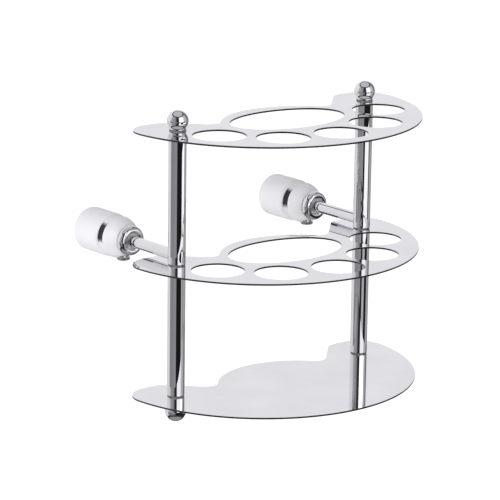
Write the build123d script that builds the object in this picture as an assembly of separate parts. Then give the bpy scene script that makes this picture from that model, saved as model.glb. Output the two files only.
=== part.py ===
from build123d import *
import os
from math import cos, radians, sin, sqrt

# Wall-hung rack: three sheet shelves on two round posts, carried by two arms that slide into wall sockets.
# Frame: X runs along the wall, the wall plane is Y = 0 and the room is at -Y, Z is up, and Z = 0 is the
# height of the two arms. Sizes are in millimetres.

# Shelves: the front edge is one arc, and the tool holes stand on a smaller arc about the same centre.
SHELF_THICK = 1.0
SHELF_PITCH = 76.0
MIDDLE_TOP_Z = -5.0
OVAL_Y = -92.0
OVAL_HALF_X = 37.5
OVAL_HALF_Y = 23.0
FRONT_CENTRE_Y = OVAL_Y + 22.5
FRONT_RADIUS = 91.0
TOOL_HOLE_RADIUS = 15.0
TOOL_HOLE_ARC = 67.6
TOOL_HOLE_ANGLES = (-150, -120, -90, -60, -30)
LOBE_BACK_Y = OVAL_Y + 33.5
LOBE_INNER_X = 64.5
NOTCH_X = 40.2
NOTCH_Y = OVAL_Y + 9.2
BULGE_BACK_Y = OVAL_Y + 31.5
LOBE_OUTER_ROUND = 15.0
LOBE_INNER_ROUND = 9.0
NOTCH_ROUND = 7.0
SAME_POINT = 0.01

# Posts: plated tubes clamped between the shelves by studs that run from finial to finial.
POST_X = 69.0
POST_Y = OVAL_Y + 12.0
POST_RADIUS = 5.0
POST_BORE = 3.5
WASHER_THICK = 0.5
WASHER_RADIUS = 4.75
WASHER_BORE = 3.55
STUD_RADIUS = 2.0
STUD_HOLE = 2.05
STUD_END_GAP = 0.2
BLOCK_RADIUS = 3.45
BLOCK_TOP = 12.0
BLOCK_BOTTOM = -16.0
STUD_DEPTH = 6.0
STUD_SHELF_GAP = 0.25
BLOCK_SHELF_GAP = 0.1

# Finials: a ball on a short foot. The lower one stands on a collar.
BALL_RADIUS = 6.0
BALL_CENTRE = 5.0
FOOT_RADIUS = 4.6
COLLAR_RADIUS = 5.6
COLLAR_HEIGHT = 2.5
COLLAR_FLARE = 0.6

# Arms: solid rod with a threaded tip in the post's block and a nylon cap on the end in the socket.
ARM_RADIUS = 3.25
ARM_TIP_RADIUS = 1.95
ARM_END_Y = -12.0
SADDLE_GAP = 0.05
CAP_RADIUS = 3.9
CAP_LENGTH = 4.0
CAP_PEG_RADIUS = 1.5
CAP_PEG_LENGTH = 2.5
PEG_GAP = 0.05
PEG_END_GAP = 0.2

# Wall sockets, each turned about its arm's axis: flange at the wall, bell-shaped head, ring in front.
FLANGE_RADIUS = 12.5
FLANGE_FRONT = -22.5
FLANGE_ROUND = 2.0
BRACKET_RADIUS = 8.5
BRACKET_FRONT = -6.0
BRACKET_POCKET = 8.6
POCKET_FRONT = -6.5
SPIGOT_RADIUS = 7.0
SPIGOT_HOLE = 7.05
SPIGOT_BACK = -14.0
ARM_PASSAGE = 4.5
HEAD_BACK = -27.0
HEAD_FRONT = -35.5
HEAD_RADIUS = 12.0
HEAD_MID_RADIUS = 10.7
HEAD_MID_Y = -32.0
HEAD_FRONT_RADIUS = 8.0
GROOVE_RADIUS = 11.0
NOSE_RADIUS = 6.0
NOSE_GAP = 0.05
NOSE_FRONT = -38.5
ARM_BORE = 3.33
CAP_BORE = 4.0
CAP_STOP = -27.0
RING_FRONT = -41.0
RING_RADIUS = 8.5
RING_MOUTH = 4.6
RING_ROUND = 2.0

# Wall fixing: two countersunk screw holes in each bracket, and a thin pad between bracket and wall.
GASKET_THICK = 0.6
SCREW_HOLE = 1.75
SCREW_SPACING = 9.0
SCREW_SINK = 3.2

# Clamp screw under each head, with a pad that does not turn, and the flange's grub screw.
CLAMP_Y = -31.5
CLAMP_HOLE = 2.0
CLAMP_RADIUS = 1.92
CLAMP_PAD_TOP = -3.31
CLAMP_PAD_THICK = 1.0
CLAMP_HEAD_RADIUS = 3.75
CLAMP_HEAD_TOP = -10.4
CLAMP_HEAD_BOTTOM = -12.4
CLAMP_HEAD_EDGE = 0.3
CLAMP_FLAT_RADIUS = 4.15
CLAMP_FLAT_Z = -10.1
FLUTES = 16
FLUTE_RADIUS = 0.45
GRUB_Y = -4.2
GRUB_RADIUS = 1.4
GRUB_HOLE = 1.5
GRUB_TOP = -8.6
GRUB_BOTTOM = -11.6
GRUB_KEY_RADIUS = 0.8
GRUB_KEY_DEPTH = 1.2

TOP_TOP_Z = MIDDLE_TOP_Z + SHELF_PITCH
BOTTOM_TOP_Z = MIDDLE_TOP_Z - SHELF_PITCH
SIDES = {"left": -POST_X, "right": POST_X}


def upright(radius, low, high, x=0.0, y=0.0):
    """Round bar standing between two heights."""
    return Pos(x, y, low) * Cylinder(radius, high - low, align=(Align.CENTER, Align.CENTER, Align.MIN))


def along_arm(radius, front, back, x):
    """Round bar on an arm's axis between two distances from the wall."""
    bar = Cylinder(radius, back - front, align=(Align.CENTER, Align.CENTER, Align.MIN))
    return Pos(x, front, 0) * Rot(-90, 0, 0) * bar


def shelf_outline():
    """Plan of a shelf: arc in front, a lobe at each end, and a bulge behind the oval hole."""
    reach = LOBE_BACK_Y - FRONT_CENTRE_Y
    tip_x = sqrt(FRONT_RADIUS**2 - reach**2)
    with BuildSketch() as plan:
        with BuildLine():
            ThreePointArc((-tip_x, LOBE_BACK_Y), (0, FRONT_CENTRE_Y - FRONT_RADIUS), (tip_x, LOBE_BACK_Y))
            Polyline((tip_x, LOBE_BACK_Y), (LOBE_INNER_X, LOBE_BACK_Y), (NOTCH_X, NOTCH_Y))
            ThreePointArc((NOTCH_X, NOTCH_Y), (0, BULGE_BACK_Y), (-NOTCH_X, NOTCH_Y))
            Polyline((-NOTCH_X, NOTCH_Y), (-LOBE_INNER_X, LOBE_BACK_Y), (-tip_x, LOBE_BACK_Y))
        make_face()
        for corner_x, rounding in (
            (tip_x, LOBE_OUTER_ROUND),
            (LOBE_INNER_X, LOBE_INNER_ROUND),
            (NOTCH_X, NOTCH_ROUND),
        ):
            corners = [v for v in plan.vertices() if abs(abs(v.X) - corner_x) < SAME_POINT]
            fillet(corners, rounding)
    return plan.sketch


def shelf(top_z, post_hole, with_tool_holes):
    """One pressed sheet with its two post holes, and the holes for tools where it has them."""
    plate = Pos(0, 0, top_z - SHELF_THICK) * extrude(shelf_outline(), SHELF_THICK)
    low = top_z - 2 * SHELF_THICK
    high = top_z + SHELF_THICK
    for x in SIDES.values():
        plate -= upright(post_hole, low, high, x, POST_Y)
    if with_tool_holes:
        oval = Pos(0, OVAL_Y, low) * extrude(Ellipse(OVAL_HALF_X, OVAL_HALF_Y), high - low)
        plate -= oval
        for angle in TOOL_HOLE_ANGLES:
            x = TOOL_HOLE_ARC * cos(radians(angle))
            y = FRONT_CENTRE_Y + TOOL_HOLE_ARC * sin(radians(angle))
            plate -= upright(TOOL_HOLE_RADIUS, low, high, x, y)
    return plate


def post_tube(x, low, high):
    """Plain tube between two washers."""
    tube = upright(POST_RADIUS, low, high, x, POST_Y)
    return tube - upright(POST_BORE, low, high, x, POST_Y)


def arm_block(x):
    """Plug inside the upper tube that takes the arm's tip from the side and a stud at each end."""
    block = upright(BLOCK_RADIUS, BLOCK_BOTTOM, BLOCK_TOP, x, POST_Y)
    block -= upright(STUD_HOLE, BLOCK_TOP - STUD_DEPTH, BLOCK_TOP, x, POST_Y)
    block -= upright(STUD_HOLE, BLOCK_BOTTOM, BLOCK_BOTTOM + STUD_DEPTH, x, POST_Y)
    return block - along_arm(STUD_HOLE, POST_Y - BLOCK_RADIUS / 2, POST_Y + 2 * BLOCK_RADIUS, x)


def finial(x, base_z, up):
    """Ball on a foot, bored for the stud. up is 1 for the top finials and -1 for the bottom ones."""
    meet = BALL_CENTRE - sqrt(BALL_RADIUS**2 - FOOT_RADIUS**2)
    with BuildSketch(Plane.XZ) as profile:
        with BuildLine():
            Polyline((0, BALL_CENTRE + BALL_RADIUS), (0, 0), (FOOT_RADIUS, 0), (FOOT_RADIUS, meet))
            ThreePointArc((FOOT_RADIUS, meet), (BALL_RADIUS, BALL_CENTRE), (0, BALL_CENTRE + BALL_RADIUS))
        make_face()
    ball = revolve(profile.sketch, Axis.Z)
    ball -= upright(STUD_HOLE, 0, STUD_DEPTH + STUD_END_GAP)
    if up < 0:
        ball = Rot(180, 0, 0) * ball
    return Pos(x, POST_Y, base_z) * ball


def foot_collar(x, top_z):
    """Small flared collar between the bottom shelf and the lower finial."""
    collar = upright(COLLAR_RADIUS, top_z - COLLAR_HEIGHT, top_z, x, POST_Y)
    collar = chamfer(collar.edges().group_by(Axis.Z)[0], COLLAR_FLARE)
    return collar - upright(STUD_HOLE, top_z - COLLAR_HEIGHT, top_z, x, POST_Y)


def arm(x):
    """Rod from post to socket. Its front end is cut to sit against the round post."""
    rod = along_arm(ARM_RADIUS, POST_Y, ARM_END_Y, x)
    rod -= upright(POST_RADIUS + SADDLE_GAP, -2 * ARM_RADIUS, 2 * ARM_RADIUS, x, POST_Y)
    rod += along_arm(ARM_TIP_RADIUS, POST_Y, POST_Y + 2 * POST_RADIUS, x)
    return rod + along_arm(CAP_PEG_RADIUS, ARM_END_Y, ARM_END_Y + CAP_PEG_LENGTH, x)


def arm_cap(x):
    """Nylon cap pegged to the hidden end of the arm. It stops the arm from pulling out."""
    cap = along_arm(CAP_RADIUS, ARM_END_Y, ARM_END_Y + CAP_LENGTH, x)
    socket_end = ARM_END_Y + CAP_PEG_LENGTH + PEG_END_GAP
    return cap - along_arm(CAP_PEG_RADIUS + PEG_GAP, ARM_END_Y, socket_end, x)


def flange(x):
    """Cover that slides over the wall bracket and holds the head's spigot."""
    body = along_arm(FLANGE_RADIUS, FLANGE_FRONT, 0, x)
    body = fillet(body.edges().filter_by(GeomType.CIRCLE), FLANGE_ROUND)
    body -= along_arm(BRACKET_POCKET, POCKET_FRONT, 0, x)
    body -= along_arm(ARM_PASSAGE, SPIGOT_BACK, POCKET_FRONT, x)
    body -= along_arm(SPIGOT_HOLE, FLANGE_FRONT, SPIGOT_BACK, x)
    return body - upright(GRUB_HOLE, -FLANGE_RADIUS, -BRACKET_RADIUS, x, GRUB_Y)


def socket_head(x):
    """Bell-shaped head: spigot behind, nose in front, stepped bore, and a flat for the clamp screw."""
    with BuildSketch(Plane.XY) as profile:
        with BuildLine():
            Polyline(
                (0, NOSE_FRONT),
                (0, SPIGOT_BACK),
                (SPIGOT_RADIUS, SPIGOT_BACK),
                (SPIGOT_RADIUS, FLANGE_FRONT),
                (GROOVE_RADIUS, FLANGE_FRONT),
                (GROOVE_RADIUS, HEAD_BACK),
                (HEAD_RADIUS, HEAD_BACK),
            )
            ThreePointArc(
                (HEAD_RADIUS, HEAD_BACK), (HEAD_MID_RADIUS, HEAD_MID_Y), (HEAD_FRONT_RADIUS, HEAD_FRONT)
            )
            Polyline(
                (HEAD_FRONT_RADIUS, HEAD_FRONT),
                (NOSE_RADIUS, HEAD_FRONT),
                (NOSE_RADIUS, NOSE_FRONT),
                (0, NOSE_FRONT),
            )
        make_face()
    body = Pos(x, 0, 0) * revolve(profile.sketch, Axis.Y)
    body -= along_arm(ARM_BORE, NOSE_FRONT, SPIGOT_BACK, x)
    body -= along_arm(CAP_BORE, CAP_STOP, SPIGOT_BACK, x)
    body -= upright(CLAMP_FLAT_RADIUS, CLAMP_HEAD_BOTTOM, CLAMP_FLAT_Z, x, CLAMP_Y)
    return body - upright(CLAMP_HOLE, CLAMP_HEAD_BOTTOM, 0, x, CLAMP_Y)


def ring_collar(x):
    """Rounded ring pressed on the head's nose, with a mouth wider than the arm."""
    ring = along_arm(RING_RADIUS, RING_FRONT, HEAD_FRONT, x)
    ring = fillet(ring.edges().filter_by(GeomType.CIRCLE), RING_ROUND)
    ring -= along_arm(NOSE_RADIUS + NOSE_GAP, NOSE_FRONT, HEAD_FRONT, x)
    return ring - along_arm(RING_MOUTH, RING_FRONT, NOSE_FRONT, x)


def wall_bracket(x):
    """Disc fixed to the wall by two countersunk screws, one above the other."""
    disc = along_arm(BRACKET_RADIUS, BRACKET_FRONT, -GASKET_THICK, x)
    for z in (-SCREW_SPACING / 2, SCREW_SPACING / 2):
        sink = Rot(90, 0, 0) * Cone(SCREW_HOLE, SCREW_SINK, SCREW_SINK - SCREW_HOLE)
        disc -= Pos(0, 0, z) * along_arm(SCREW_HOLE, BRACKET_FRONT, 0, x)
        disc -= Pos(x, BRACKET_FRONT + (SCREW_SINK - SCREW_HOLE) / 2, z) * sink
    return disc


def wall_gasket(x):
    """Thin pad between bracket and wall, with the same two holes."""
    pad = along_arm(BRACKET_RADIUS, -GASKET_THICK, 0, x)
    for z in (-SCREW_SPACING / 2, SCREW_SPACING / 2):
        pad -= Pos(0, 0, z) * along_arm(SCREW_HOLE, -GASKET_THICK, 0, x)
    return pad


def clamp_pad(x):
    """Pad that presses on the arm and slides up and down in the screw's hole without turning."""
    return upright(CLAMP_RADIUS, CLAMP_PAD_TOP - CLAMP_PAD_THICK, CLAMP_PAD_TOP, x, CLAMP_Y)


def clamp_screw(x):
    """Thumb screw with a fluted head, turned from below."""
    screw = upright(CLAMP_RADIUS, CLAMP_HEAD_TOP, CLAMP_PAD_TOP - CLAMP_PAD_THICK, x, CLAMP_Y)
    head = upright(CLAMP_HEAD_RADIUS, CLAMP_HEAD_BOTTOM, CLAMP_HEAD_TOP, x, CLAMP_Y)
    head = chamfer(head.edges().filter_by(GeomType.CIRCLE), CLAMP_HEAD_EDGE)
    for step in range(FLUTES):
        angle = radians(360 * step / FLUTES)
        flute_x = x + CLAMP_HEAD_RADIUS * cos(angle)
        flute_y = CLAMP_Y + CLAMP_HEAD_RADIUS * sin(angle)
        head -= upright(FLUTE_RADIUS, CLAMP_HEAD_BOTTOM, CLAMP_HEAD_TOP, flute_x, flute_y)
    return screw + head


def grub_screw(x):
    """Headless screw in the flange's underside, with a key socket. It grips the bracket."""
    grub = upright(GRUB_RADIUS, GRUB_BOTTOM, GRUB_TOP, x, GRUB_Y)
    key = Pos(x, GRUB_Y, GRUB_BOTTOM) * extrude(RegularPolygon(GRUB_KEY_RADIUS, 6), GRUB_KEY_DEPTH)
    return grub - key


def washers():
    """Thin washers above and below each shelf, two posts, as one group of separate rings."""
    ring = upright(WASHER_RADIUS, 0, WASHER_THICK) - upright(WASHER_BORE, 0, WASHER_THICK)
    rings = []
    for top_z in (TOP_TOP_Z, MIDDLE_TOP_Z, BOTTOM_TOP_Z):
        for low in (top_z, top_z - SHELF_THICK - WASHER_THICK):
            for x in SIDES.values():
                rings.append(Pos(x, POST_Y, low) * ring)
    return Compound(children=rings)


def save(shape, node):
    export_step(shape, f"parts/{node}.step")


os.makedirs("parts", exist_ok=True)

save(shelf(TOP_TOP_Z, STUD_HOLE + STUD_SHELF_GAP, True), "top_shelf")
save(shelf(MIDDLE_TOP_Z, BLOCK_RADIUS + BLOCK_SHELF_GAP, True), "middle_shelf")
save(shelf(BOTTOM_TOP_Z, STUD_HOLE + STUD_SHELF_GAP, False), "bottom_shelf")
save(washers(), "post_washers")

upper_low = MIDDLE_TOP_Z + WASHER_THICK
upper_high = TOP_TOP_Z - SHELF_THICK - WASHER_THICK
lower_low = BOTTOM_TOP_Z + WASHER_THICK
lower_high = MIDDLE_TOP_Z - SHELF_THICK - WASHER_THICK
top_seat = TOP_TOP_Z + WASHER_THICK
collar_top = BOTTOM_TOP_Z - SHELF_THICK - WASHER_THICK
bottom_seat = collar_top - COLLAR_HEIGHT

for side, side_x in SIDES.items():
    upper_tube = post_tube(side_x, upper_low, upper_high)
    arm_hole = along_arm(STUD_HOLE, POST_Y, POST_Y + 2 * POST_RADIUS, side_x)
    save(upper_tube - arm_hole, f"{side}_upper_post")
    save(post_tube(side_x, lower_low, lower_high), f"{side}_lower_post")
    save(arm_block(side_x), f"{side}_arm_block")
    upper_stud = upright(STUD_RADIUS, BLOCK_TOP - STUD_DEPTH, top_seat + STUD_DEPTH, side_x, POST_Y)
    lower_stud = upright(STUD_RADIUS, bottom_seat - STUD_DEPTH, BLOCK_BOTTOM + STUD_DEPTH, side_x, POST_Y)
    save(upper_stud, f"{side}_upper_stud")
    save(lower_stud, f"{side}_lower_stud")
    save(finial(side_x, top_seat, 1), f"{side}_top_finial")
    save(foot_collar(side_x, collar_top), f"{side}_foot_collar")
    save(finial(side_x, bottom_seat, -1), f"{side}_bottom_finial")
    save(arm(side_x), f"{side}_arm")
    save(arm_cap(side_x), f"{side}_arm_cap")
    save(ring_collar(side_x), f"{side}_ring_collar")
    save(socket_head(side_x), f"{side}_socket_head")
    save(flange(side_x), f"{side}_flange")
    save(grub_screw(side_x), f"{side}_grub_screw")
    save(clamp_pad(side_x), f"{side}_clamp_pad")
    save(clamp_screw(side_x), f"{side}_clamp_screw")
    save(wall_bracket(side_x), f"{side}_wall_bracket")
    save(wall_gasket(side_x), f"{side}_wall_gasket")
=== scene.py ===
import bmesh
import bpy
from math import atan2, cos, degrees, pi, radians, sin, sqrt
from mathutils import Matrix, Vector


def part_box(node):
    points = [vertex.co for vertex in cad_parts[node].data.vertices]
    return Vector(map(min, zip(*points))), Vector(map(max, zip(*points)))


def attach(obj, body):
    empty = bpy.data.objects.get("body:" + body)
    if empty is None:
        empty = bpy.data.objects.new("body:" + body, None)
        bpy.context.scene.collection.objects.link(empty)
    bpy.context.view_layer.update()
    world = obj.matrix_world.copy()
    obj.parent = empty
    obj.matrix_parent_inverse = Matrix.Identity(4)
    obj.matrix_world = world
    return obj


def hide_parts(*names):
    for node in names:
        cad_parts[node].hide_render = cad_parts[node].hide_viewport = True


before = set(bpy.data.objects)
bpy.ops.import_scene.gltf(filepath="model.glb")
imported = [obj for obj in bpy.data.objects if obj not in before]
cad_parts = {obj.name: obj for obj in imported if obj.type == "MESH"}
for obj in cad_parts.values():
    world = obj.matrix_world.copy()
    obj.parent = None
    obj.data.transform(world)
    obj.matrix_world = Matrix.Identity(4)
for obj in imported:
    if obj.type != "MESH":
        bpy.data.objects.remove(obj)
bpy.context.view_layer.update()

# Studio: the rack hangs in front of white. Polished chrome shows only what stands around it, so reflections
# see a room of pale and dark bands instead: a pale wall behind the rack, and a dark viewer's side with one
# tall white window in it. Two strip lamps and a broad soft lamp light the rack.
camera_data = bpy.data.cameras.new("studio_camera")
camera = bpy.data.objects.new("studio_camera", camera_data)
bpy.context.scene.collection.objects.link(camera)
bpy.context.scene.camera = camera
camera_data.sensor_width = 36.0
camera_data.lens = 204.3
camera_data.clip_end = 50.0
camera.location = (-1.018, -1.267, 0.403)
turn = Matrix.Rotation(radians(-40.17), 4, "Z")
tilt = Matrix.Rotation(radians(90 - 14.72), 4, "X")
roll = Matrix.Rotation(radians(0.81), 4, "Z")
camera.rotation_euler = (turn @ tilt @ roll).to_euler()

view = bpy.context.scene.view_settings
view.view_transform = "Standard"
view.look = "None"

room = bpy.data.worlds.new("studio_room")
bpy.context.scene.world = room
room.use_nodes = True
nodes = room.node_tree.nodes
links = room.node_tree.links
nodes.clear()
direction = nodes.new("ShaderNodeTexCoord")
split = nodes.new("ShaderNodeSeparateXYZ")
links.new(direction.outputs["Generated"], split.inputs[0])
heading = nodes.new("ShaderNodeMath")
heading.operation = "ARCTAN2"
links.new(split.outputs["Y"], heading.inputs[0])
links.new(split.outputs["X"], heading.inputs[1])
compass = nodes.new("ShaderNodeMapRange")
compass.inputs["From Min"].default_value = -pi
compass.inputs["From Max"].default_value = pi
links.new(heading.outputs["Value"], compass.inputs["Value"])


def room_band(stops):
    """One band of the room's walls, as brightness against compass heading in degrees."""
    band = nodes.new("ShaderNodeValToRGB")
    while len(band.color_ramp.elements) < len(stops):
        band.color_ramp.elements.new(0.5)
    for stop, (bearing, level) in zip(band.color_ramp.elements, stops):
        stop.position = (bearing + 180) / 360
        stop.color = (level * 0.985, level * 0.975, level, 1)
    links.new(compass.outputs["Result"], band.inputs["Fac"])
    return band


def even_band(colour):
    """One band of the room that looks the same all round."""
    band = nodes.new("ShaderNodeRGB")
    band.outputs["Color"].default_value = (*colour, 1)
    return band


def blend_by_height(start, end, below, above):
    """Fades one band of the room into the next between two heights on the unit sphere."""
    fade = nodes.new("ShaderNodeMapRange")
    fade.interpolation_type = "SMOOTHSTEP"
    fade.inputs["From Min"].default_value = start
    fade.inputs["From Max"].default_value = end
    links.new(split.outputs["Z"], fade.inputs["Value"])
    mix = nodes.new("ShaderNodeMix")
    mix.data_type = "RGBA"
    links.new(fade.outputs["Result"], mix.inputs["Factor"])
    links.new(below, mix.inputs["A"])
    links.new(above, mix.inputs["B"])
    return mix.outputs["Result"]


ground = even_band((0.30, 0.30, 0.315))
dark_ground = even_band((0.04, 0.04, 0.042))
skirting = room_band(
    [
        (-180, 0.20),
        (-140, 0.16),
        (-124, 0.01),
        (10, 0.02),
        (34, 0.34),
        (62, 0.46),
        (88, 0.76),
        (136, 0.80),
        (150, 0.20),
    ]
)
low_band = room_band(
    [
        (-180, 0.25),
        (-136, 0.31),
        (-128, 0.012),
        (-46, 0.010),
        (-36, 0.42),
        (10, 0.34),
        (62, 0.46),
        (88, 0.76),
        (136, 0.80),
        (146, 0.26),
    ]
)
middle_band = room_band(
    [
        (-180, 0.38),
        (-158, 0.32),
        (-140, 0.03),
        (-118, 0.02),
        (-110, 1.25),
        (-66, 1.15),
        (-58, 0.60),
        (-26, 0.50),
        (-10, 0.12),
        (16, 0.32),
        (36, 0.87),
        (70, 0.90),
        (148, 0.82),
        (166, 0.40),
    ]
)
coving = even_band((0.03, 0.03, 0.032))
ceiling = even_band((0.55, 0.55, 0.565))
walls = ground.outputs["Color"]
for seam_start, seam_end, band in (
    (-0.84, -0.76, dark_ground),
    (-0.66, -0.58, skirting),
    (-0.46, -0.34, low_band),
    (-0.14, -0.06, middle_band),
    (0.66, 0.70, coving),
    (0.76, 0.82, ceiling),
):
    walls = blend_by_height(seam_start, seam_end, walls, band.outputs["Color"])
around = nodes.new("ShaderNodeBackground")
links.new(walls, around.inputs["Color"])
plain = nodes.new("ShaderNodeBackground")
plain.inputs["Color"].default_value = (1.0, 1.0, 1.0, 1)
seen = nodes.new("ShaderNodeLightPath")
choose = nodes.new("ShaderNodeMixShader")
world_out = nodes.new("ShaderNodeOutputWorld")
links.new(seen.outputs["Is Camera Ray"], choose.inputs["Fac"])
links.new(around.outputs["Background"], choose.inputs[1])
links.new(plain.outputs["Background"], choose.inputs[2])
links.new(choose.outputs["Shader"], world_out.inputs["Surface"])


def softbox(name, place, aim, width, height, brightness):
    """Soft lamp with an even face. Its power follows from the face's size and brightness."""
    light = bpy.data.lights.new(name, "AREA")
    light.shape = "RECTANGLE"
    light.size = width
    light.size_y = height
    light.energy = brightness * pi * width * height
    lamp = bpy.data.objects.new(name, light)
    bpy.context.scene.collection.objects.link(lamp)
    lamp.location = place
    lamp.rotation_euler = (Vector(aim) - Vector(place)).to_track_quat("-Z", "Y").to_euler()
    lamp.visible_camera = False
    return lamp


strips = [
    softbox("upper_strip_softbox", (0.097, -0.262, -0.022), (0.097, 0, -0.022), 0.185, 0.076, 1.1),
    softbox("lower_strip_softbox", (0.055, -0.262, -0.100), (0.055, 0, -0.100), 0.100, 0.078, 0.45),
]
fill = softbox("fill_softbox", (-0.9, -0.5, 0.5), (0, -0.05, 0), 0.9, 0.9, 3.7)
fill.visible_glossy = False  # it brightens satin, nylon and rubber and leaves no image in the chrome

floor_mesh = bpy.data.meshes.new("studio_floor")
floor_size = 8.0
floor_height = -0.5
bm = bmesh.new()
bmesh.ops.create_grid(bm, x_segments=1, y_segments=1, size=floor_size)
bmesh.ops.translate(bm, verts=bm.verts, vec=(0, 0, floor_height))
bm.to_mesh(floor_mesh)
bm.free()
floor = bpy.data.objects.new("studio_floor", floor_mesh)
bpy.context.scene.collection.objects.link(floor)
floor.visible_glossy = False
paper = bpy.data.materials.new("pale_paper")
paper.use_nodes = True
paper_bsdf = paper.node_tree.nodes["Principled BSDF"]
paper_bsdf.inputs["Base Color"].default_value = (0.9, 0.9, 0.9, 1)
paper_bsdf.inputs["Roughness"].default_value = 0.9
paper_bsdf.inputs["Specular IOR Level"].default_value = 0.0
paper_bsdf.inputs["Emission Color"].default_value = (1, 1, 1, 1)
paper_bsdf.inputs["Emission Strength"].default_value = 0.66
floor_mesh.materials.append(paper)


# Shelves: three pressings from 1 mm sheet steel, deburred, polished flat and chrome plated. The upper two
# have an oval hole and five round ones. The bottom one is whole, so that handles stand on it.
def chrome(name, tint, haze, ripple, ripple_size, grain):
    """Mirror plating: wiping haze, faint polishing lines along grain, and the metal's slight ripple."""
    finish = bpy.data.materials.new(name)
    finish.use_nodes = True
    tree = finish.node_tree
    metal = tree.nodes["Principled BSDF"]
    metal.inputs["Metallic"].default_value = 1.0
    place = tree.nodes.new("ShaderNodeTexCoord")
    stretch = tree.nodes.new("ShaderNodeMapping")
    stretch.inputs["Scale"].default_value = grain
    tree.links.new(place.outputs["Object"], stretch.inputs["Vector"])
    smear = tree.nodes.new("ShaderNodeTexNoise")
    smear.inputs["Scale"].default_value = 34.0
    smear.inputs["Detail"].default_value = 6.0
    smear.inputs["Roughness"].default_value = 0.6
    tree.links.new(place.outputs["Object"], smear.inputs["Vector"])
    lines = tree.nodes.new("ShaderNodeTexNoise")
    lines.inputs["Scale"].default_value = 900.0
    lines.inputs["Detail"].default_value = 3.0
    tree.links.new(stretch.outputs["Vector"], lines.inputs["Vector"])
    both = tree.nodes.new("ShaderNodeMath")
    both.operation = "MULTIPLY_ADD"
    both.inputs[1].default_value = 0.35
    tree.links.new(lines.outputs["Fac"], both.inputs[0])
    tree.links.new(smear.outputs["Fac"], both.inputs[2])
    gloss = tree.nodes.new("ShaderNodeMapRange")
    gloss.inputs["From Min"].default_value = 0.45
    gloss.inputs["From Max"].default_value = 0.95
    gloss.inputs["To Min"].default_value = haze * 0.35
    gloss.inputs["To Max"].default_value = haze
    tree.links.new(both.outputs["Value"], gloss.inputs["Value"])
    tree.links.new(gloss.outputs["Result"], metal.inputs["Roughness"])
    shade = tree.nodes.new("ShaderNodeValToRGB")
    shade.color_ramp.elements[0].position = 0.35
    shade.color_ramp.elements[0].color = (*(0.93 * part for part in tint), 1)
    shade.color_ramp.elements[1].position = 0.7
    shade.color_ramp.elements[1].color = (*tint, 1)
    tree.links.new(smear.outputs["Fac"], shade.inputs["Fac"])
    tree.links.new(shade.outputs["Color"], metal.inputs["Base Color"])
    wave = tree.nodes.new("ShaderNodeTexNoise")
    wave.inputs["Scale"].default_value = ripple_size
    wave.inputs["Detail"].default_value = 1.0
    tree.links.new(place.outputs["Object"], wave.inputs["Vector"])
    buckle = tree.nodes.new("ShaderNodeBump")
    buckle.inputs["Strength"].default_value = 1.0
    buckle.inputs["Distance"].default_value = ripple
    tree.links.new(wave.outputs["Fac"], buckle.inputs["Height"])
    scratch = tree.nodes.new("ShaderNodeBump")
    scratch.inputs["Strength"].default_value = 0.3
    scratch.inputs["Distance"].default_value = 0.0000004
    tree.links.new(lines.outputs["Fac"], scratch.inputs["Height"])
    tree.links.new(buckle.outputs["Normal"], scratch.inputs["Normal"])
    tree.links.new(scratch.outputs["Normal"], metal.inputs["Normal"])
    return finish


def finished(name, shape, material, sharp=32):
    """Closes a mesh into a named piece with smooth curves and crisp corners."""
    bmesh.ops.remove_doubles(shape, verts=shape.verts, dist=0.000002)
    bmesh.ops.recalc_face_normals(shape, faces=shape.faces)
    for face in shape.faces:
        face.smooth = True
    mesh = bpy.data.meshes.new(name)
    shape.to_mesh(mesh)
    shape.free()
    mesh.set_sharp_from_angle(angle=radians(sharp))
    mesh.materials.append(material)
    piece = bpy.data.objects.new(name, mesh)
    bpy.context.scene.collection.objects.link(piece)
    return piece


def carry(bm, vertex, centre, angle, steps):
    """Runs an outline on from a vertex along an arc and returns the last vertex."""
    swept = bmesh.ops.spin(bm, geom=[vertex], cent=centre, axis=(0, 0, 1), angle=angle, steps=steps)
    return swept["geom_last"][0]


def straight(bm, vertex, target):
    """Runs an outline on from a vertex along a straight line and returns the last vertex."""
    drawn = bmesh.ops.extrude_vert_indiv(bm, verts=[vertex])
    drawn["verts"][0].co = target
    return drawn["verts"][0]


shelf_chrome = chrome("shelf_chrome_plate", (0.86, 0.855, 0.885), 0.05, 0.000012, 9.0, (1, 14, 1))
# Near-black plating on the sheet rims is a painted dark reflection along every edge of the shelves.
painted_dark_rim = chrome("painted_dark_rim", (0.13, 0.13, 0.14), 0.45, 0.000004, 400.0, (1, 1, 0.05))
FRONT_RADIUS = 0.091
CORNER_RADIUS = 0.015
INNER_RADIUS = 0.009
NOTCH_RADIUS = 0.007
BULGE_RADIUS = 0.0475
LOBE_INNER_X = 0.0645
OVAL_CENTRE_Y = -0.092
OVAL_HALF = (0.0375, 0.023)
FRONT_CENTRE_Y = OVAL_CENTRE_Y + 0.0225
BULGE_CENTRE_Y = OVAL_CENTRE_Y - 0.016
HOLE_RADIUS = 0.015
HOLE_ARC = 0.0676


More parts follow.
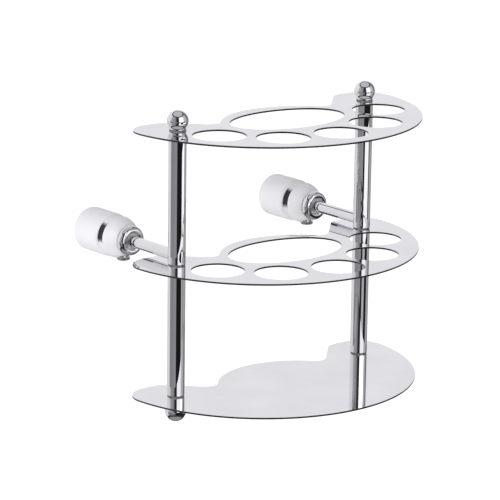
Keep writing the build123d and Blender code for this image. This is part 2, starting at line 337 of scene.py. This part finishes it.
def shelf_edges(bm, back):
    """Draws half of a shelf's outline, mirrors it, and closes it on the centre line."""
    corner = Vector((0, back - CORNER_RADIUS, 0))
    corner.x = sqrt((FRONT_RADIUS - CORNER_RADIUS) ** 2 - (corner.y - FRONT_CENTRE_Y) ** 2)
    inner = Vector((LOBE_INNER_X + INNER_RADIUS * (sqrt(2) - 1), back - INNER_RADIUS, 0))
    flank = back - LOBE_INNER_X
    bulge = Vector((0, BULGE_CENTRE_Y, 0))
    reach = BULGE_RADIUS + NOTCH_RADIUS
    rise = flank + NOTCH_RADIUS * sqrt(2) - bulge.y
    notch_x = (-rise + sqrt(2 * reach**2 - rise**2)) / 2
    notch = Vector((notch_x, bulge.y + notch_x + rise, 0))
    lean = atan2(corner.y - FRONT_CENTRE_Y, corner.x)
    spread = atan2(notch.y - bulge.y, notch.x)
    start = bm.verts.new((0, FRONT_CENTRE_Y - FRONT_RADIUS, 0))
    here = carry(bm, start, (0, FRONT_CENTRE_Y, 0), pi / 2 + lean, 64)
    here = carry(bm, here, corner, pi / 2 - lean, 24)
    here = straight(bm, here, (inner.x, back, 0))
    here = carry(bm, here, inner, pi / 4, 10)
    here = straight(bm, here, notch + Vector((1, -1, 0)).normalized() * NOTCH_RADIUS)
    here = carry(bm, here, notch, -(3 * pi / 4 - spread), 14)
    carry(bm, here, bulge, pi / 2 - spread, 24)
    bmesh.ops.mirror(bm, geom=bm.verts[:] + bm.edges[:], axis="X", merge_dist=0.00001)
    bmesh.ops.remove_doubles(bm, verts=bm.verts, dist=0.00001)


def press_shelf(node, piece_name, with_holes):
    low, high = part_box(node)
    bm = bmesh.new()
    shelf_edges(bm, high.y)
    if with_holes:
        oval = bmesh.ops.create_circle(bm, segments=128, radius=1.0)["verts"]
        bmesh.ops.scale(bm, vec=(*OVAL_HALF, 1), verts=oval)
        bmesh.ops.translate(bm, vec=(0, OVAL_CENTRE_Y, 0), verts=oval)
        for step in range(-2, 3):
            swing = radians(30 * step)
            hole = bmesh.ops.create_circle(bm, segments=80, radius=HOLE_RADIUS)["verts"]
            x = HOLE_ARC * sin(swing)
            y = FRONT_CENTRE_Y - HOLE_ARC * cos(swing)
            bmesh.ops.translate(bm, vec=(x, y, 0), verts=hole)
    bmesh.ops.triangle_fill(bm, use_beauty=True, edges=bm.edges)
    bmesh.ops.translate(bm, vec=(0, 0, low.z), verts=bm.verts)
    rise = bmesh.ops.extrude_face_region(bm, geom=bm.faces[:])["geom"]
    raised = [part for part in rise if isinstance(part, bmesh.types.BMVert)]
    bmesh.ops.translate(bm, vec=(0, 0, high.z - low.z), verts=raised)
    bmesh.ops.recalc_face_normals(bm, faces=bm.faces)
    rims = [edge for edge in bm.edges if edge.is_manifold and edge.calc_face_angle() > radians(60)]
    bmesh.ops.bevel(
        bm,
        geom=rims,
        offset=0.00025,
        segments=3,
        profile=0.5,
        affect="EDGES",
        material=-1,
        clamp_overlap=True,
    )
    piece = finished(piece_name, bm, shelf_chrome, sharp=50)
    piece.data.materials.append(painted_dark_rim)
    for face in piece.data.polygons:
        if abs(face.normal.z) > 0.999:
            face.use_smooth = False
        # Upright rim faces take the painted dark reflection.
        if abs(face.normal.z) < 0.1:
            face.material_index = 1
    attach(piece, "rack")
    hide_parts(node)


press_shelf("top_shelf", "top_shelf_sheet", True)
press_shelf("middle_shelf", "middle_shelf_sheet", True)
press_shelf("bottom_shelf", "bottom_shelf_sheet", False)

# The strip lamps are for the round parts. Left on the sheets they would show as hard-edged patches.
unlit = bpy.data.collections.new("sheets_without_strips")
for level in ("top", "middle", "bottom"):
    unlit.objects.link(bpy.data.objects[f"{level}_shelf_sheet"])
for entry in unlit.collection_objects:
    entry.light_linking.link_state = "EXCLUDE"
for strip in strips:
    strip.light_linking.receiver_collection = unlit


# Post tubes: drawn steel tube, cut square with a broken edge, polished and plated. An upper and a lower
# length stand on each side, clamped between the shelves.
def turned(bm, outline, centre, along="Z", steps=96):
    """Turns an outline of (radius, distance) points about an upright axis or an arm's axis."""
    across = Vector((1, 0, 0))
    axis = Vector((0, 0, 1)) if along == "Z" else Vector((0, 1, 0))
    ring = [bm.verts.new(Vector(centre) + across * radius + axis * place) for radius, place in outline]
    edges = [bm.edges.new(pair) for pair in zip(ring, ring[1:])]
    bmesh.ops.spin(
        bm, geom=ring + edges, cent=centre, axis=axis, angle=2 * pi, steps=steps, use_merge=True
    )
    bmesh.ops.remove_doubles(bm, verts=bm.verts, dist=0.000002)


def bow(centre, radius, start, end, steps):
    """Points of an outline along an arc, from one angle to another in degrees."""
    points = []
    for step in range(steps + 1):
        angle = radians(start + (end - start) * step / steps)
        points.append((centre[0] + radius * cos(angle), centre[1] + radius * sin(angle)))
    return points


post_chrome = chrome("post_chrome_tube", (0.87, 0.87, 0.89), 0.045, 0.000006, 30.0, (1, 1, 0.05))


def cut_tube(node, piece_name):
    low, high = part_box(node)
    centre = ((low.x + high.x) / 2, (low.y + high.y) / 2, 0)
    radius = (high.x - low.x) / 2
    wall = 0.0015
    edge = 0.0003
    bm = bmesh.new()
    outline = [
        (radius - wall, low.z),
        (radius - edge, low.z),
        (radius, low.z + edge),
        (radius, high.z - edge),
        (radius - edge, high.z),
        (radius - wall, high.z),
        (radius - wall, low.z),
    ]
    turned(bm, outline, centre)
    piece = finished(piece_name, bm, post_chrome)
    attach(piece, "rack")
    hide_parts(node)


for side in ("left", "right"):
    cut_tube(f"{side}_upper_post", f"{side}_upper_tube")
    cut_tube(f"{side}_lower_post", f"{side}_lower_tube")


# Finials and collars: solid balls turned with a short foot, screwed on the studs above and below, and a
# small flared collar under each bottom shelf corner that spreads the lower finial's pull.
fitting_chrome = chrome("turned_fitting_chrome", (0.87, 0.87, 0.89), 0.05, 0.000003, 60.0, (1, 1, 8))


def turn_finial(node, piece_name, up):
    low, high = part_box(node)
    radius = (high.x - low.x) / 2
    seat = low.z if up > 0 else high.z
    height = high.z - low.z
    foot = 0.0046
    edge = 0.0003
    ball = height - radius
    neck = degrees(atan2(-sqrt(radius**2 - foot**2), foot))
    outline = [(0, 0), (foot - edge, 0), (foot, edge)]
    outline += bow((0, ball), radius, neck + 3, 90, 40)
    outline[-1] = (0, height)
    bm = bmesh.new()
    centre = ((low.x + high.x) / 2, (low.y + high.y) / 2, seat)
    turned(bm, [(across, up * along) for across, along in outline], centre)
    piece = finished(piece_name, bm, fitting_chrome)
    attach(piece, "rack")
    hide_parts(node)


def turn_collar(node, piece_name):
    low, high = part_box(node)
    radius = (high.x - low.x) / 2
    stud_bore = 0.00205
    edge = 0.0003
    outline = [
        (stud_bore, high.z),
        (radius - edge, high.z),
        (radius, high.z - edge),
        (radius, high.z - 0.0012),
        (radius - 0.0004, high.z - 0.0017),
        (radius - 0.0007, low.z),
        (stud_bore, low.z),
        (stud_bore, high.z),
    ]
    bm = bmesh.new()
    turned(bm, outline, ((low.x + high.x) / 2, (low.y + high.y) / 2, 0), steps=72)
    piece = finished(piece_name, bm, fitting_chrome)
    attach(piece, "rack")
    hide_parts(node)


for side in ("left", "right"):
    turn_finial(f"{side}_top_finial", f"{side}_top_ball", 1)
    turn_finial(f"{side}_bottom_finial", f"{side}_bottom_ball", -1)
    turn_collar(f"{side}_foot_collar", f"{side}_foot_ring")


# Arms: solid steel rods, plated. Each has a saddle cut where it meets its round post and a bevelled end
# inside the socket.
arm_chrome = chrome("arm_chrome_rod", (0.88, 0.88, 0.90), 0.05, 0.000005, 30.0, (1, 0.05, 1))


def make_arm(node, post_node, piece_name):
    low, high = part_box(node)
    post_low, post_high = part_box(post_node)
    radius = (high.x - low.x) / 2
    centre_x = (low.x + high.x) / 2
    post_y = (post_low.y + post_high.y) / 2
    post_radius = (post_high.x - post_low.x) / 2
    peg_radius = 0.0015
    edge = 0.0004
    rod_end = high.y - 0.0025
    front = post_y + post_radius
    outline = [(0, front), (radius, front), (radius, front + 0.003), (radius, rod_end - edge)]
    outline += [(radius - edge, rod_end), (peg_radius, rod_end), (peg_radius, high.y), (0, high.y)]
    bm = bmesh.new()
    turned(bm, outline, (centre_x, 0, 0), "Y")
    for vertex in bm.verts:
        if vertex.co.y < front + 0.0001:
            across = vertex.co.x - centre_x
            vertex.co.y = post_y + sqrt(post_radius**2 - across**2)
    piece = finished(piece_name, bm, arm_chrome)
    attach(piece, "rack")
    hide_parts(node)


for side in ("left", "right"):
    make_arm(f"{side}_arm", f"{side}_upper_post", f"{side}_arm_rod")


# Wall sockets: a flange cover against the wall, a bell-shaped head pushed into it with a waist between,
# and a rounded ring round the mouth. All are turned brass, plated. The cover and head are satin, with
# painted shade darkening the waist on one side, and the ring is polished.
def satin_chrome(name):
    """Fine satin plating, only partly metallic so that it reads as one even pale tone."""
    finish = chrome(name, (0.90, 0.89, 0.92), 0.8, 0.000004, 900.0, (1, 8, 1))
    finish.node_tree.nodes["Principled BSDF"].inputs["Metallic"].default_value = 0.35
    return finish


def painted_shade(finish):
    """Paints shade into a finish, darkening it by a weight stored on the mesh's points."""
    tree = finish.node_tree
    colour = tree.nodes["Principled BSDF"].inputs["Base Color"]
    shade_paint = tree.nodes.new("ShaderNodeAttribute")
    shade_paint.attribute_name = "painted_shade"
    mix = tree.nodes.new("ShaderNodeMix")
    mix.data_type = "RGBA"
    # Near-black painted shade that the mesh's weight mixes into the satin colour.
    mix.inputs["B"].default_value = (0.035, 0.035, 0.04, 1)
    tree.links.new(shade_paint.outputs["Fac"], mix.inputs["Factor"])
    tree.links.new(colour.links[0].from_socket, mix.inputs["A"])
    tree.links.new(mix.outputs["Result"], colour)


socket_satin = satin_chrome("socket_satin_chrome")
# The waist finish carries painted shade on one side, standing in for the shadow in the gap between flange
# and head.
waist_finish_with_painted_shade = satin_chrome("waist_painted_shade")
painted_shade(waist_finish_with_painted_shade)


def turn_flange(node, piece_name):
    low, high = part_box(node)
    radius = (high.x - low.x) / 2
    back_round = 0.0022
    front_round = 0.0018
    bracket_bore = 0.0086
    bracket_front = -0.0065
    head_bore = 0.00705
    head_back = -0.014
    cap_bore = 0.0045
    outline = [(bracket_bore, high.y)]
    outline += bow((radius - back_round, high.y - back_round), back_round, 90, 0, 8)
    outline += bow((radius - front_round, low.y + front_round), front_round, 0, -90, 8)
    outline += [(head_bore, low.y), (head_bore, head_back), (cap_bore, head_back)]
    outline += [(cap_bore, bracket_front), (bracket_bore, bracket_front), (bracket_bore, high.y)]
    bm = bmesh.new()
    turned(bm, outline, ((low.x + high.x) / 2, 0, 0), "Y", 128)
    piece = finished(piece_name, bm, socket_satin)
    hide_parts(node)
    return piece


def turn_head(node, piece_name):
    low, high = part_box(node)
    radius = (high.x - low.x) / 2
    centre_x = (low.x + high.x) / 2
    waist_front = -0.027
    waist_back = -0.0225
    waist_middle = (waist_front + waist_back) / 2
    shoulder = 0.0007
    plug = 0.007
    cap_bore = 0.004
    arm_bore = 0.00333
    mouth = 0.006
    mouth_back = -0.0355
    outline = [(cap_bore, high.y), (plug, high.y), (plug, waist_back)]
    outline += bow((radius + 0.0011, waist_middle), 0.0024, 125, 235, 10)
    outline += bow((radius - shoulder, waist_front - shoulder), shoulder, 90, 0, 4)
    outline += [(0.01165, -0.0290), (0.0113, -0.0305), (0.0107, -0.0320), (0.0097, -0.0336)]
    outline += [(0.0087, -0.0348), (0.0080, mouth_back), (mouth, mouth_back), (mouth, low.y)]
    outline += [(arm_bore, low.y), (arm_bore, waist_front), (cap_bore, waist_front), (cap_bore, high.y)]
    bm = bmesh.new()
    turned(bm, outline, (centre_x, 0, 0), "Y", 128)
    piece = finished(piece_name, bm, socket_satin)
    piece.data.materials.append(waist_finish_with_painted_shade)
    # Painted shade: points of the waist that face one fixed side get a weight that darkens them, fading out
    # towards the others.
    shade_paint = piece.data.attributes.new("painted_shade", "FLOAT", "POINT")
    painted_shade_side = Vector((-0.94, 0.34))
    painted_shade_edge = 0.83
    painted_shade_fade = 0.1
    for vertex, amount in zip(piece.data.vertices, shade_paint.data):
        offset = Vector((vertex.co.x - centre_x, vertex.co.z)).normalized()
        amount.value = min(1, max(0, (offset @ painted_shade_side - painted_shade_edge) / painted_shade_fade))
    for face in piece.data.polygons:
        if waist_front < face.center.y < waist_back:
            face.material_index = 1
    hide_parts(node)
    return piece


def turn_ring(node, piece_name):
    low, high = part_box(node)
    radius = (high.x - low.x) / 2
    fullness = 0.0024
    head_bore = 0.00605
    lip = 0.0046
    lip_back = -0.0385
    outline = bow((radius - fullness, high.y - 0.0022), fullness, 80, 0, 8)
    outline += bow((radius - fullness, low.y + fullness), fullness, 0, -110, 12)
    outline += [(lip + 0.0002, low.y + 0.0006), (lip, low.y + 0.0014), (lip, lip_back)]
    outline += [(head_bore, lip_back), (head_bore, high.y), outline[0]]
    bm = bmesh.new()
    turned(bm, outline, ((low.x + high.x) / 2, 0, 0), "Y", 112)
    piece = finished(piece_name, bm, fitting_chrome)
    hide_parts(node)
    return piece


for side in ("left", "right"):
    for piece in (
        turn_flange(f"{side}_flange", f"{side}_flange_cover"),
        turn_head(f"{side}_socket_head", f"{side}_bell_head"),
        turn_ring(f"{side}_ring_collar", f"{side}_mouth_ring"),
    ):
        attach(piece, f"{side}_socket")


# Thumb screws: low heads with a fluted rim under each bell head. A nylon pad rides on the screw's tip so
# that the arm's plating is not marked.
def cut_thumb_screw(node, piece_name):
    low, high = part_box(node)
    centre = Vector(((low.x + high.x) / 2, (low.y + high.y) / 2, 0))
    radius = 0.00375
    shank = 0.00192
    edge = 0.0004
    dish_depth = 0.0003
    flute_depth = 0.0003
    step_degrees = 360 / 96
    head_top = low.z + 0.002
    bm = bmesh.new()
    outline = [
        (0, low.z + dish_depth),
        (0.0014, low.z + dish_depth),
        (0.0018, low.z),
        (radius - edge, low.z),
        (radius, low.z + edge),
        (radius, head_top - edge),
        (radius - edge, head_top),
        (shank, head_top),
        (shank, high.z),
        (0, high.z),
    ]
    turned(bm, outline, centre, steps=96)
    for vertex in bm.verts:
        offset = vertex.co - centre
        offset.z = 0
        step = round(degrees(atan2(offset.y, offset.x)) / step_degrees)
        if offset.length > radius - 0.0002 and step % 3 == 0:
            vertex.co -= offset.normalized() * flute_depth
    piece = finished(piece_name, bm, fitting_chrome, sharp=25)
    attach(piece, f"{piece_name.split('_')[0]}_thumb_screw")
    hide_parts(node)


for side in ("left", "right"):
    cut_thumb_screw(f"{side}_clamp_screw", f"{side}_thumb_knob")


# Small and hidden parts keep their own shapes: nylon washers, caps and pads, steel studs and grub screws,
# brass blocks, die-cast brackets and rubber gaskets. Each gets its own bare, unplated finish.
def plain_finish(name, low, high, metallic, rough, size, bump, grain=(1, 1, 1)):
    """Unplated surface: a fine mottle of two close shades, with matching gloss and relief."""
    finish = bpy.data.materials.new(name)
    finish.use_nodes = True
    tree = finish.node_tree
    surface = tree.nodes["Principled BSDF"]
    surface.inputs["Metallic"].default_value = metallic
    place = tree.nodes.new("ShaderNodeTexCoord")
    stretch = tree.nodes.new("ShaderNodeMapping")
    stretch.inputs["Scale"].default_value = grain
    tree.links.new(place.outputs["Object"], stretch.inputs["Vector"])
    mottle = tree.nodes.new("ShaderNodeTexNoise")
    mottle.inputs["Scale"].default_value = size
    mottle.inputs["Detail"].default_value = 5.0
    tree.links.new(stretch.outputs["Vector"], mottle.inputs["Vector"])
    shade = tree.nodes.new("ShaderNodeValToRGB")
    shade.color_ramp.elements[0].position = 0.3
    shade.color_ramp.elements[0].color = (*low, 1)
    shade.color_ramp.elements[1].position = 0.7
    shade.color_ramp.elements[1].color = (*high, 1)
    tree.links.new(mottle.outputs["Fac"], shade.inputs["Fac"])
    tree.links.new(shade.outputs["Color"], surface.inputs["Base Color"])
    gloss = tree.nodes.new("ShaderNodeMapRange")
    gloss.inputs["To Min"].default_value = rough - 0.08
    gloss.inputs["To Max"].default_value = rough + 0.08
    tree.links.new(mottle.outputs["Fac"], gloss.inputs["Value"])
    tree.links.new(gloss.outputs["Result"], surface.inputs["Roughness"])
    relief = tree.nodes.new("ShaderNodeBump")
    relief.inputs["Strength"].default_value = 0.6
    relief.inputs["Distance"].default_value = bump
    tree.links.new(mottle.outputs["Fac"], relief.inputs["Height"])
    tree.links.new(relief.outputs["Normal"], surface.inputs["Normal"])
    return finish


def dress(material, *node_names):
    for name in node_names:
        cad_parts[name].data.materials.clear()
        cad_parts[name].data.materials.append(material)


nylon = plain_finish(
    "moulded_nylon", (0.60, 0.60, 0.58), (0.76, 0.76, 0.74), 0.0, 0.30, 260.0, 0.00002
)
nylon_inputs = nylon.node_tree.nodes["Principled BSDF"].inputs
nylon_inputs["Transmission Weight"].default_value = 0.8
nylon_inputs["IOR"].default_value = 1.53
steel = plain_finish(
    "bright_steel", (0.52, 0.52, 0.54), (0.66, 0.66, 0.68), 1.0, 0.3, 700.0, 0.00001, (1, 1, 0.2)
)
brass = plain_finish(
    "turned_brass", (0.70, 0.54, 0.27), (0.82, 0.67, 0.38), 1.0, 0.28, 500.0, 0.00001, (1, 1, 6)
)
zinc = plain_finish("die_cast_zinc", (0.52, 0.53, 0.55), (0.64, 0.65, 0.67), 1.0, 0.45, 420.0, 0.00003)
rubber = plain_finish(
    "black_rubber", (0.012, 0.012, 0.013), (0.03, 0.03, 0.032), 0.0, 0.75, 900.0, 0.00003
)

dress(nylon, "post_washers")
for side in ("left", "right"):
    dress(nylon, f"{side}_arm_cap", f"{side}_clamp_pad")
    dress(steel, f"{side}_upper_stud", f"{side}_lower_stud", f"{side}_grub_screw")
    dress(brass, f"{side}_arm_block")
    dress(zinc, f"{side}_wall_bracket")
    dress(rubber, f"{side}_wall_gasket")
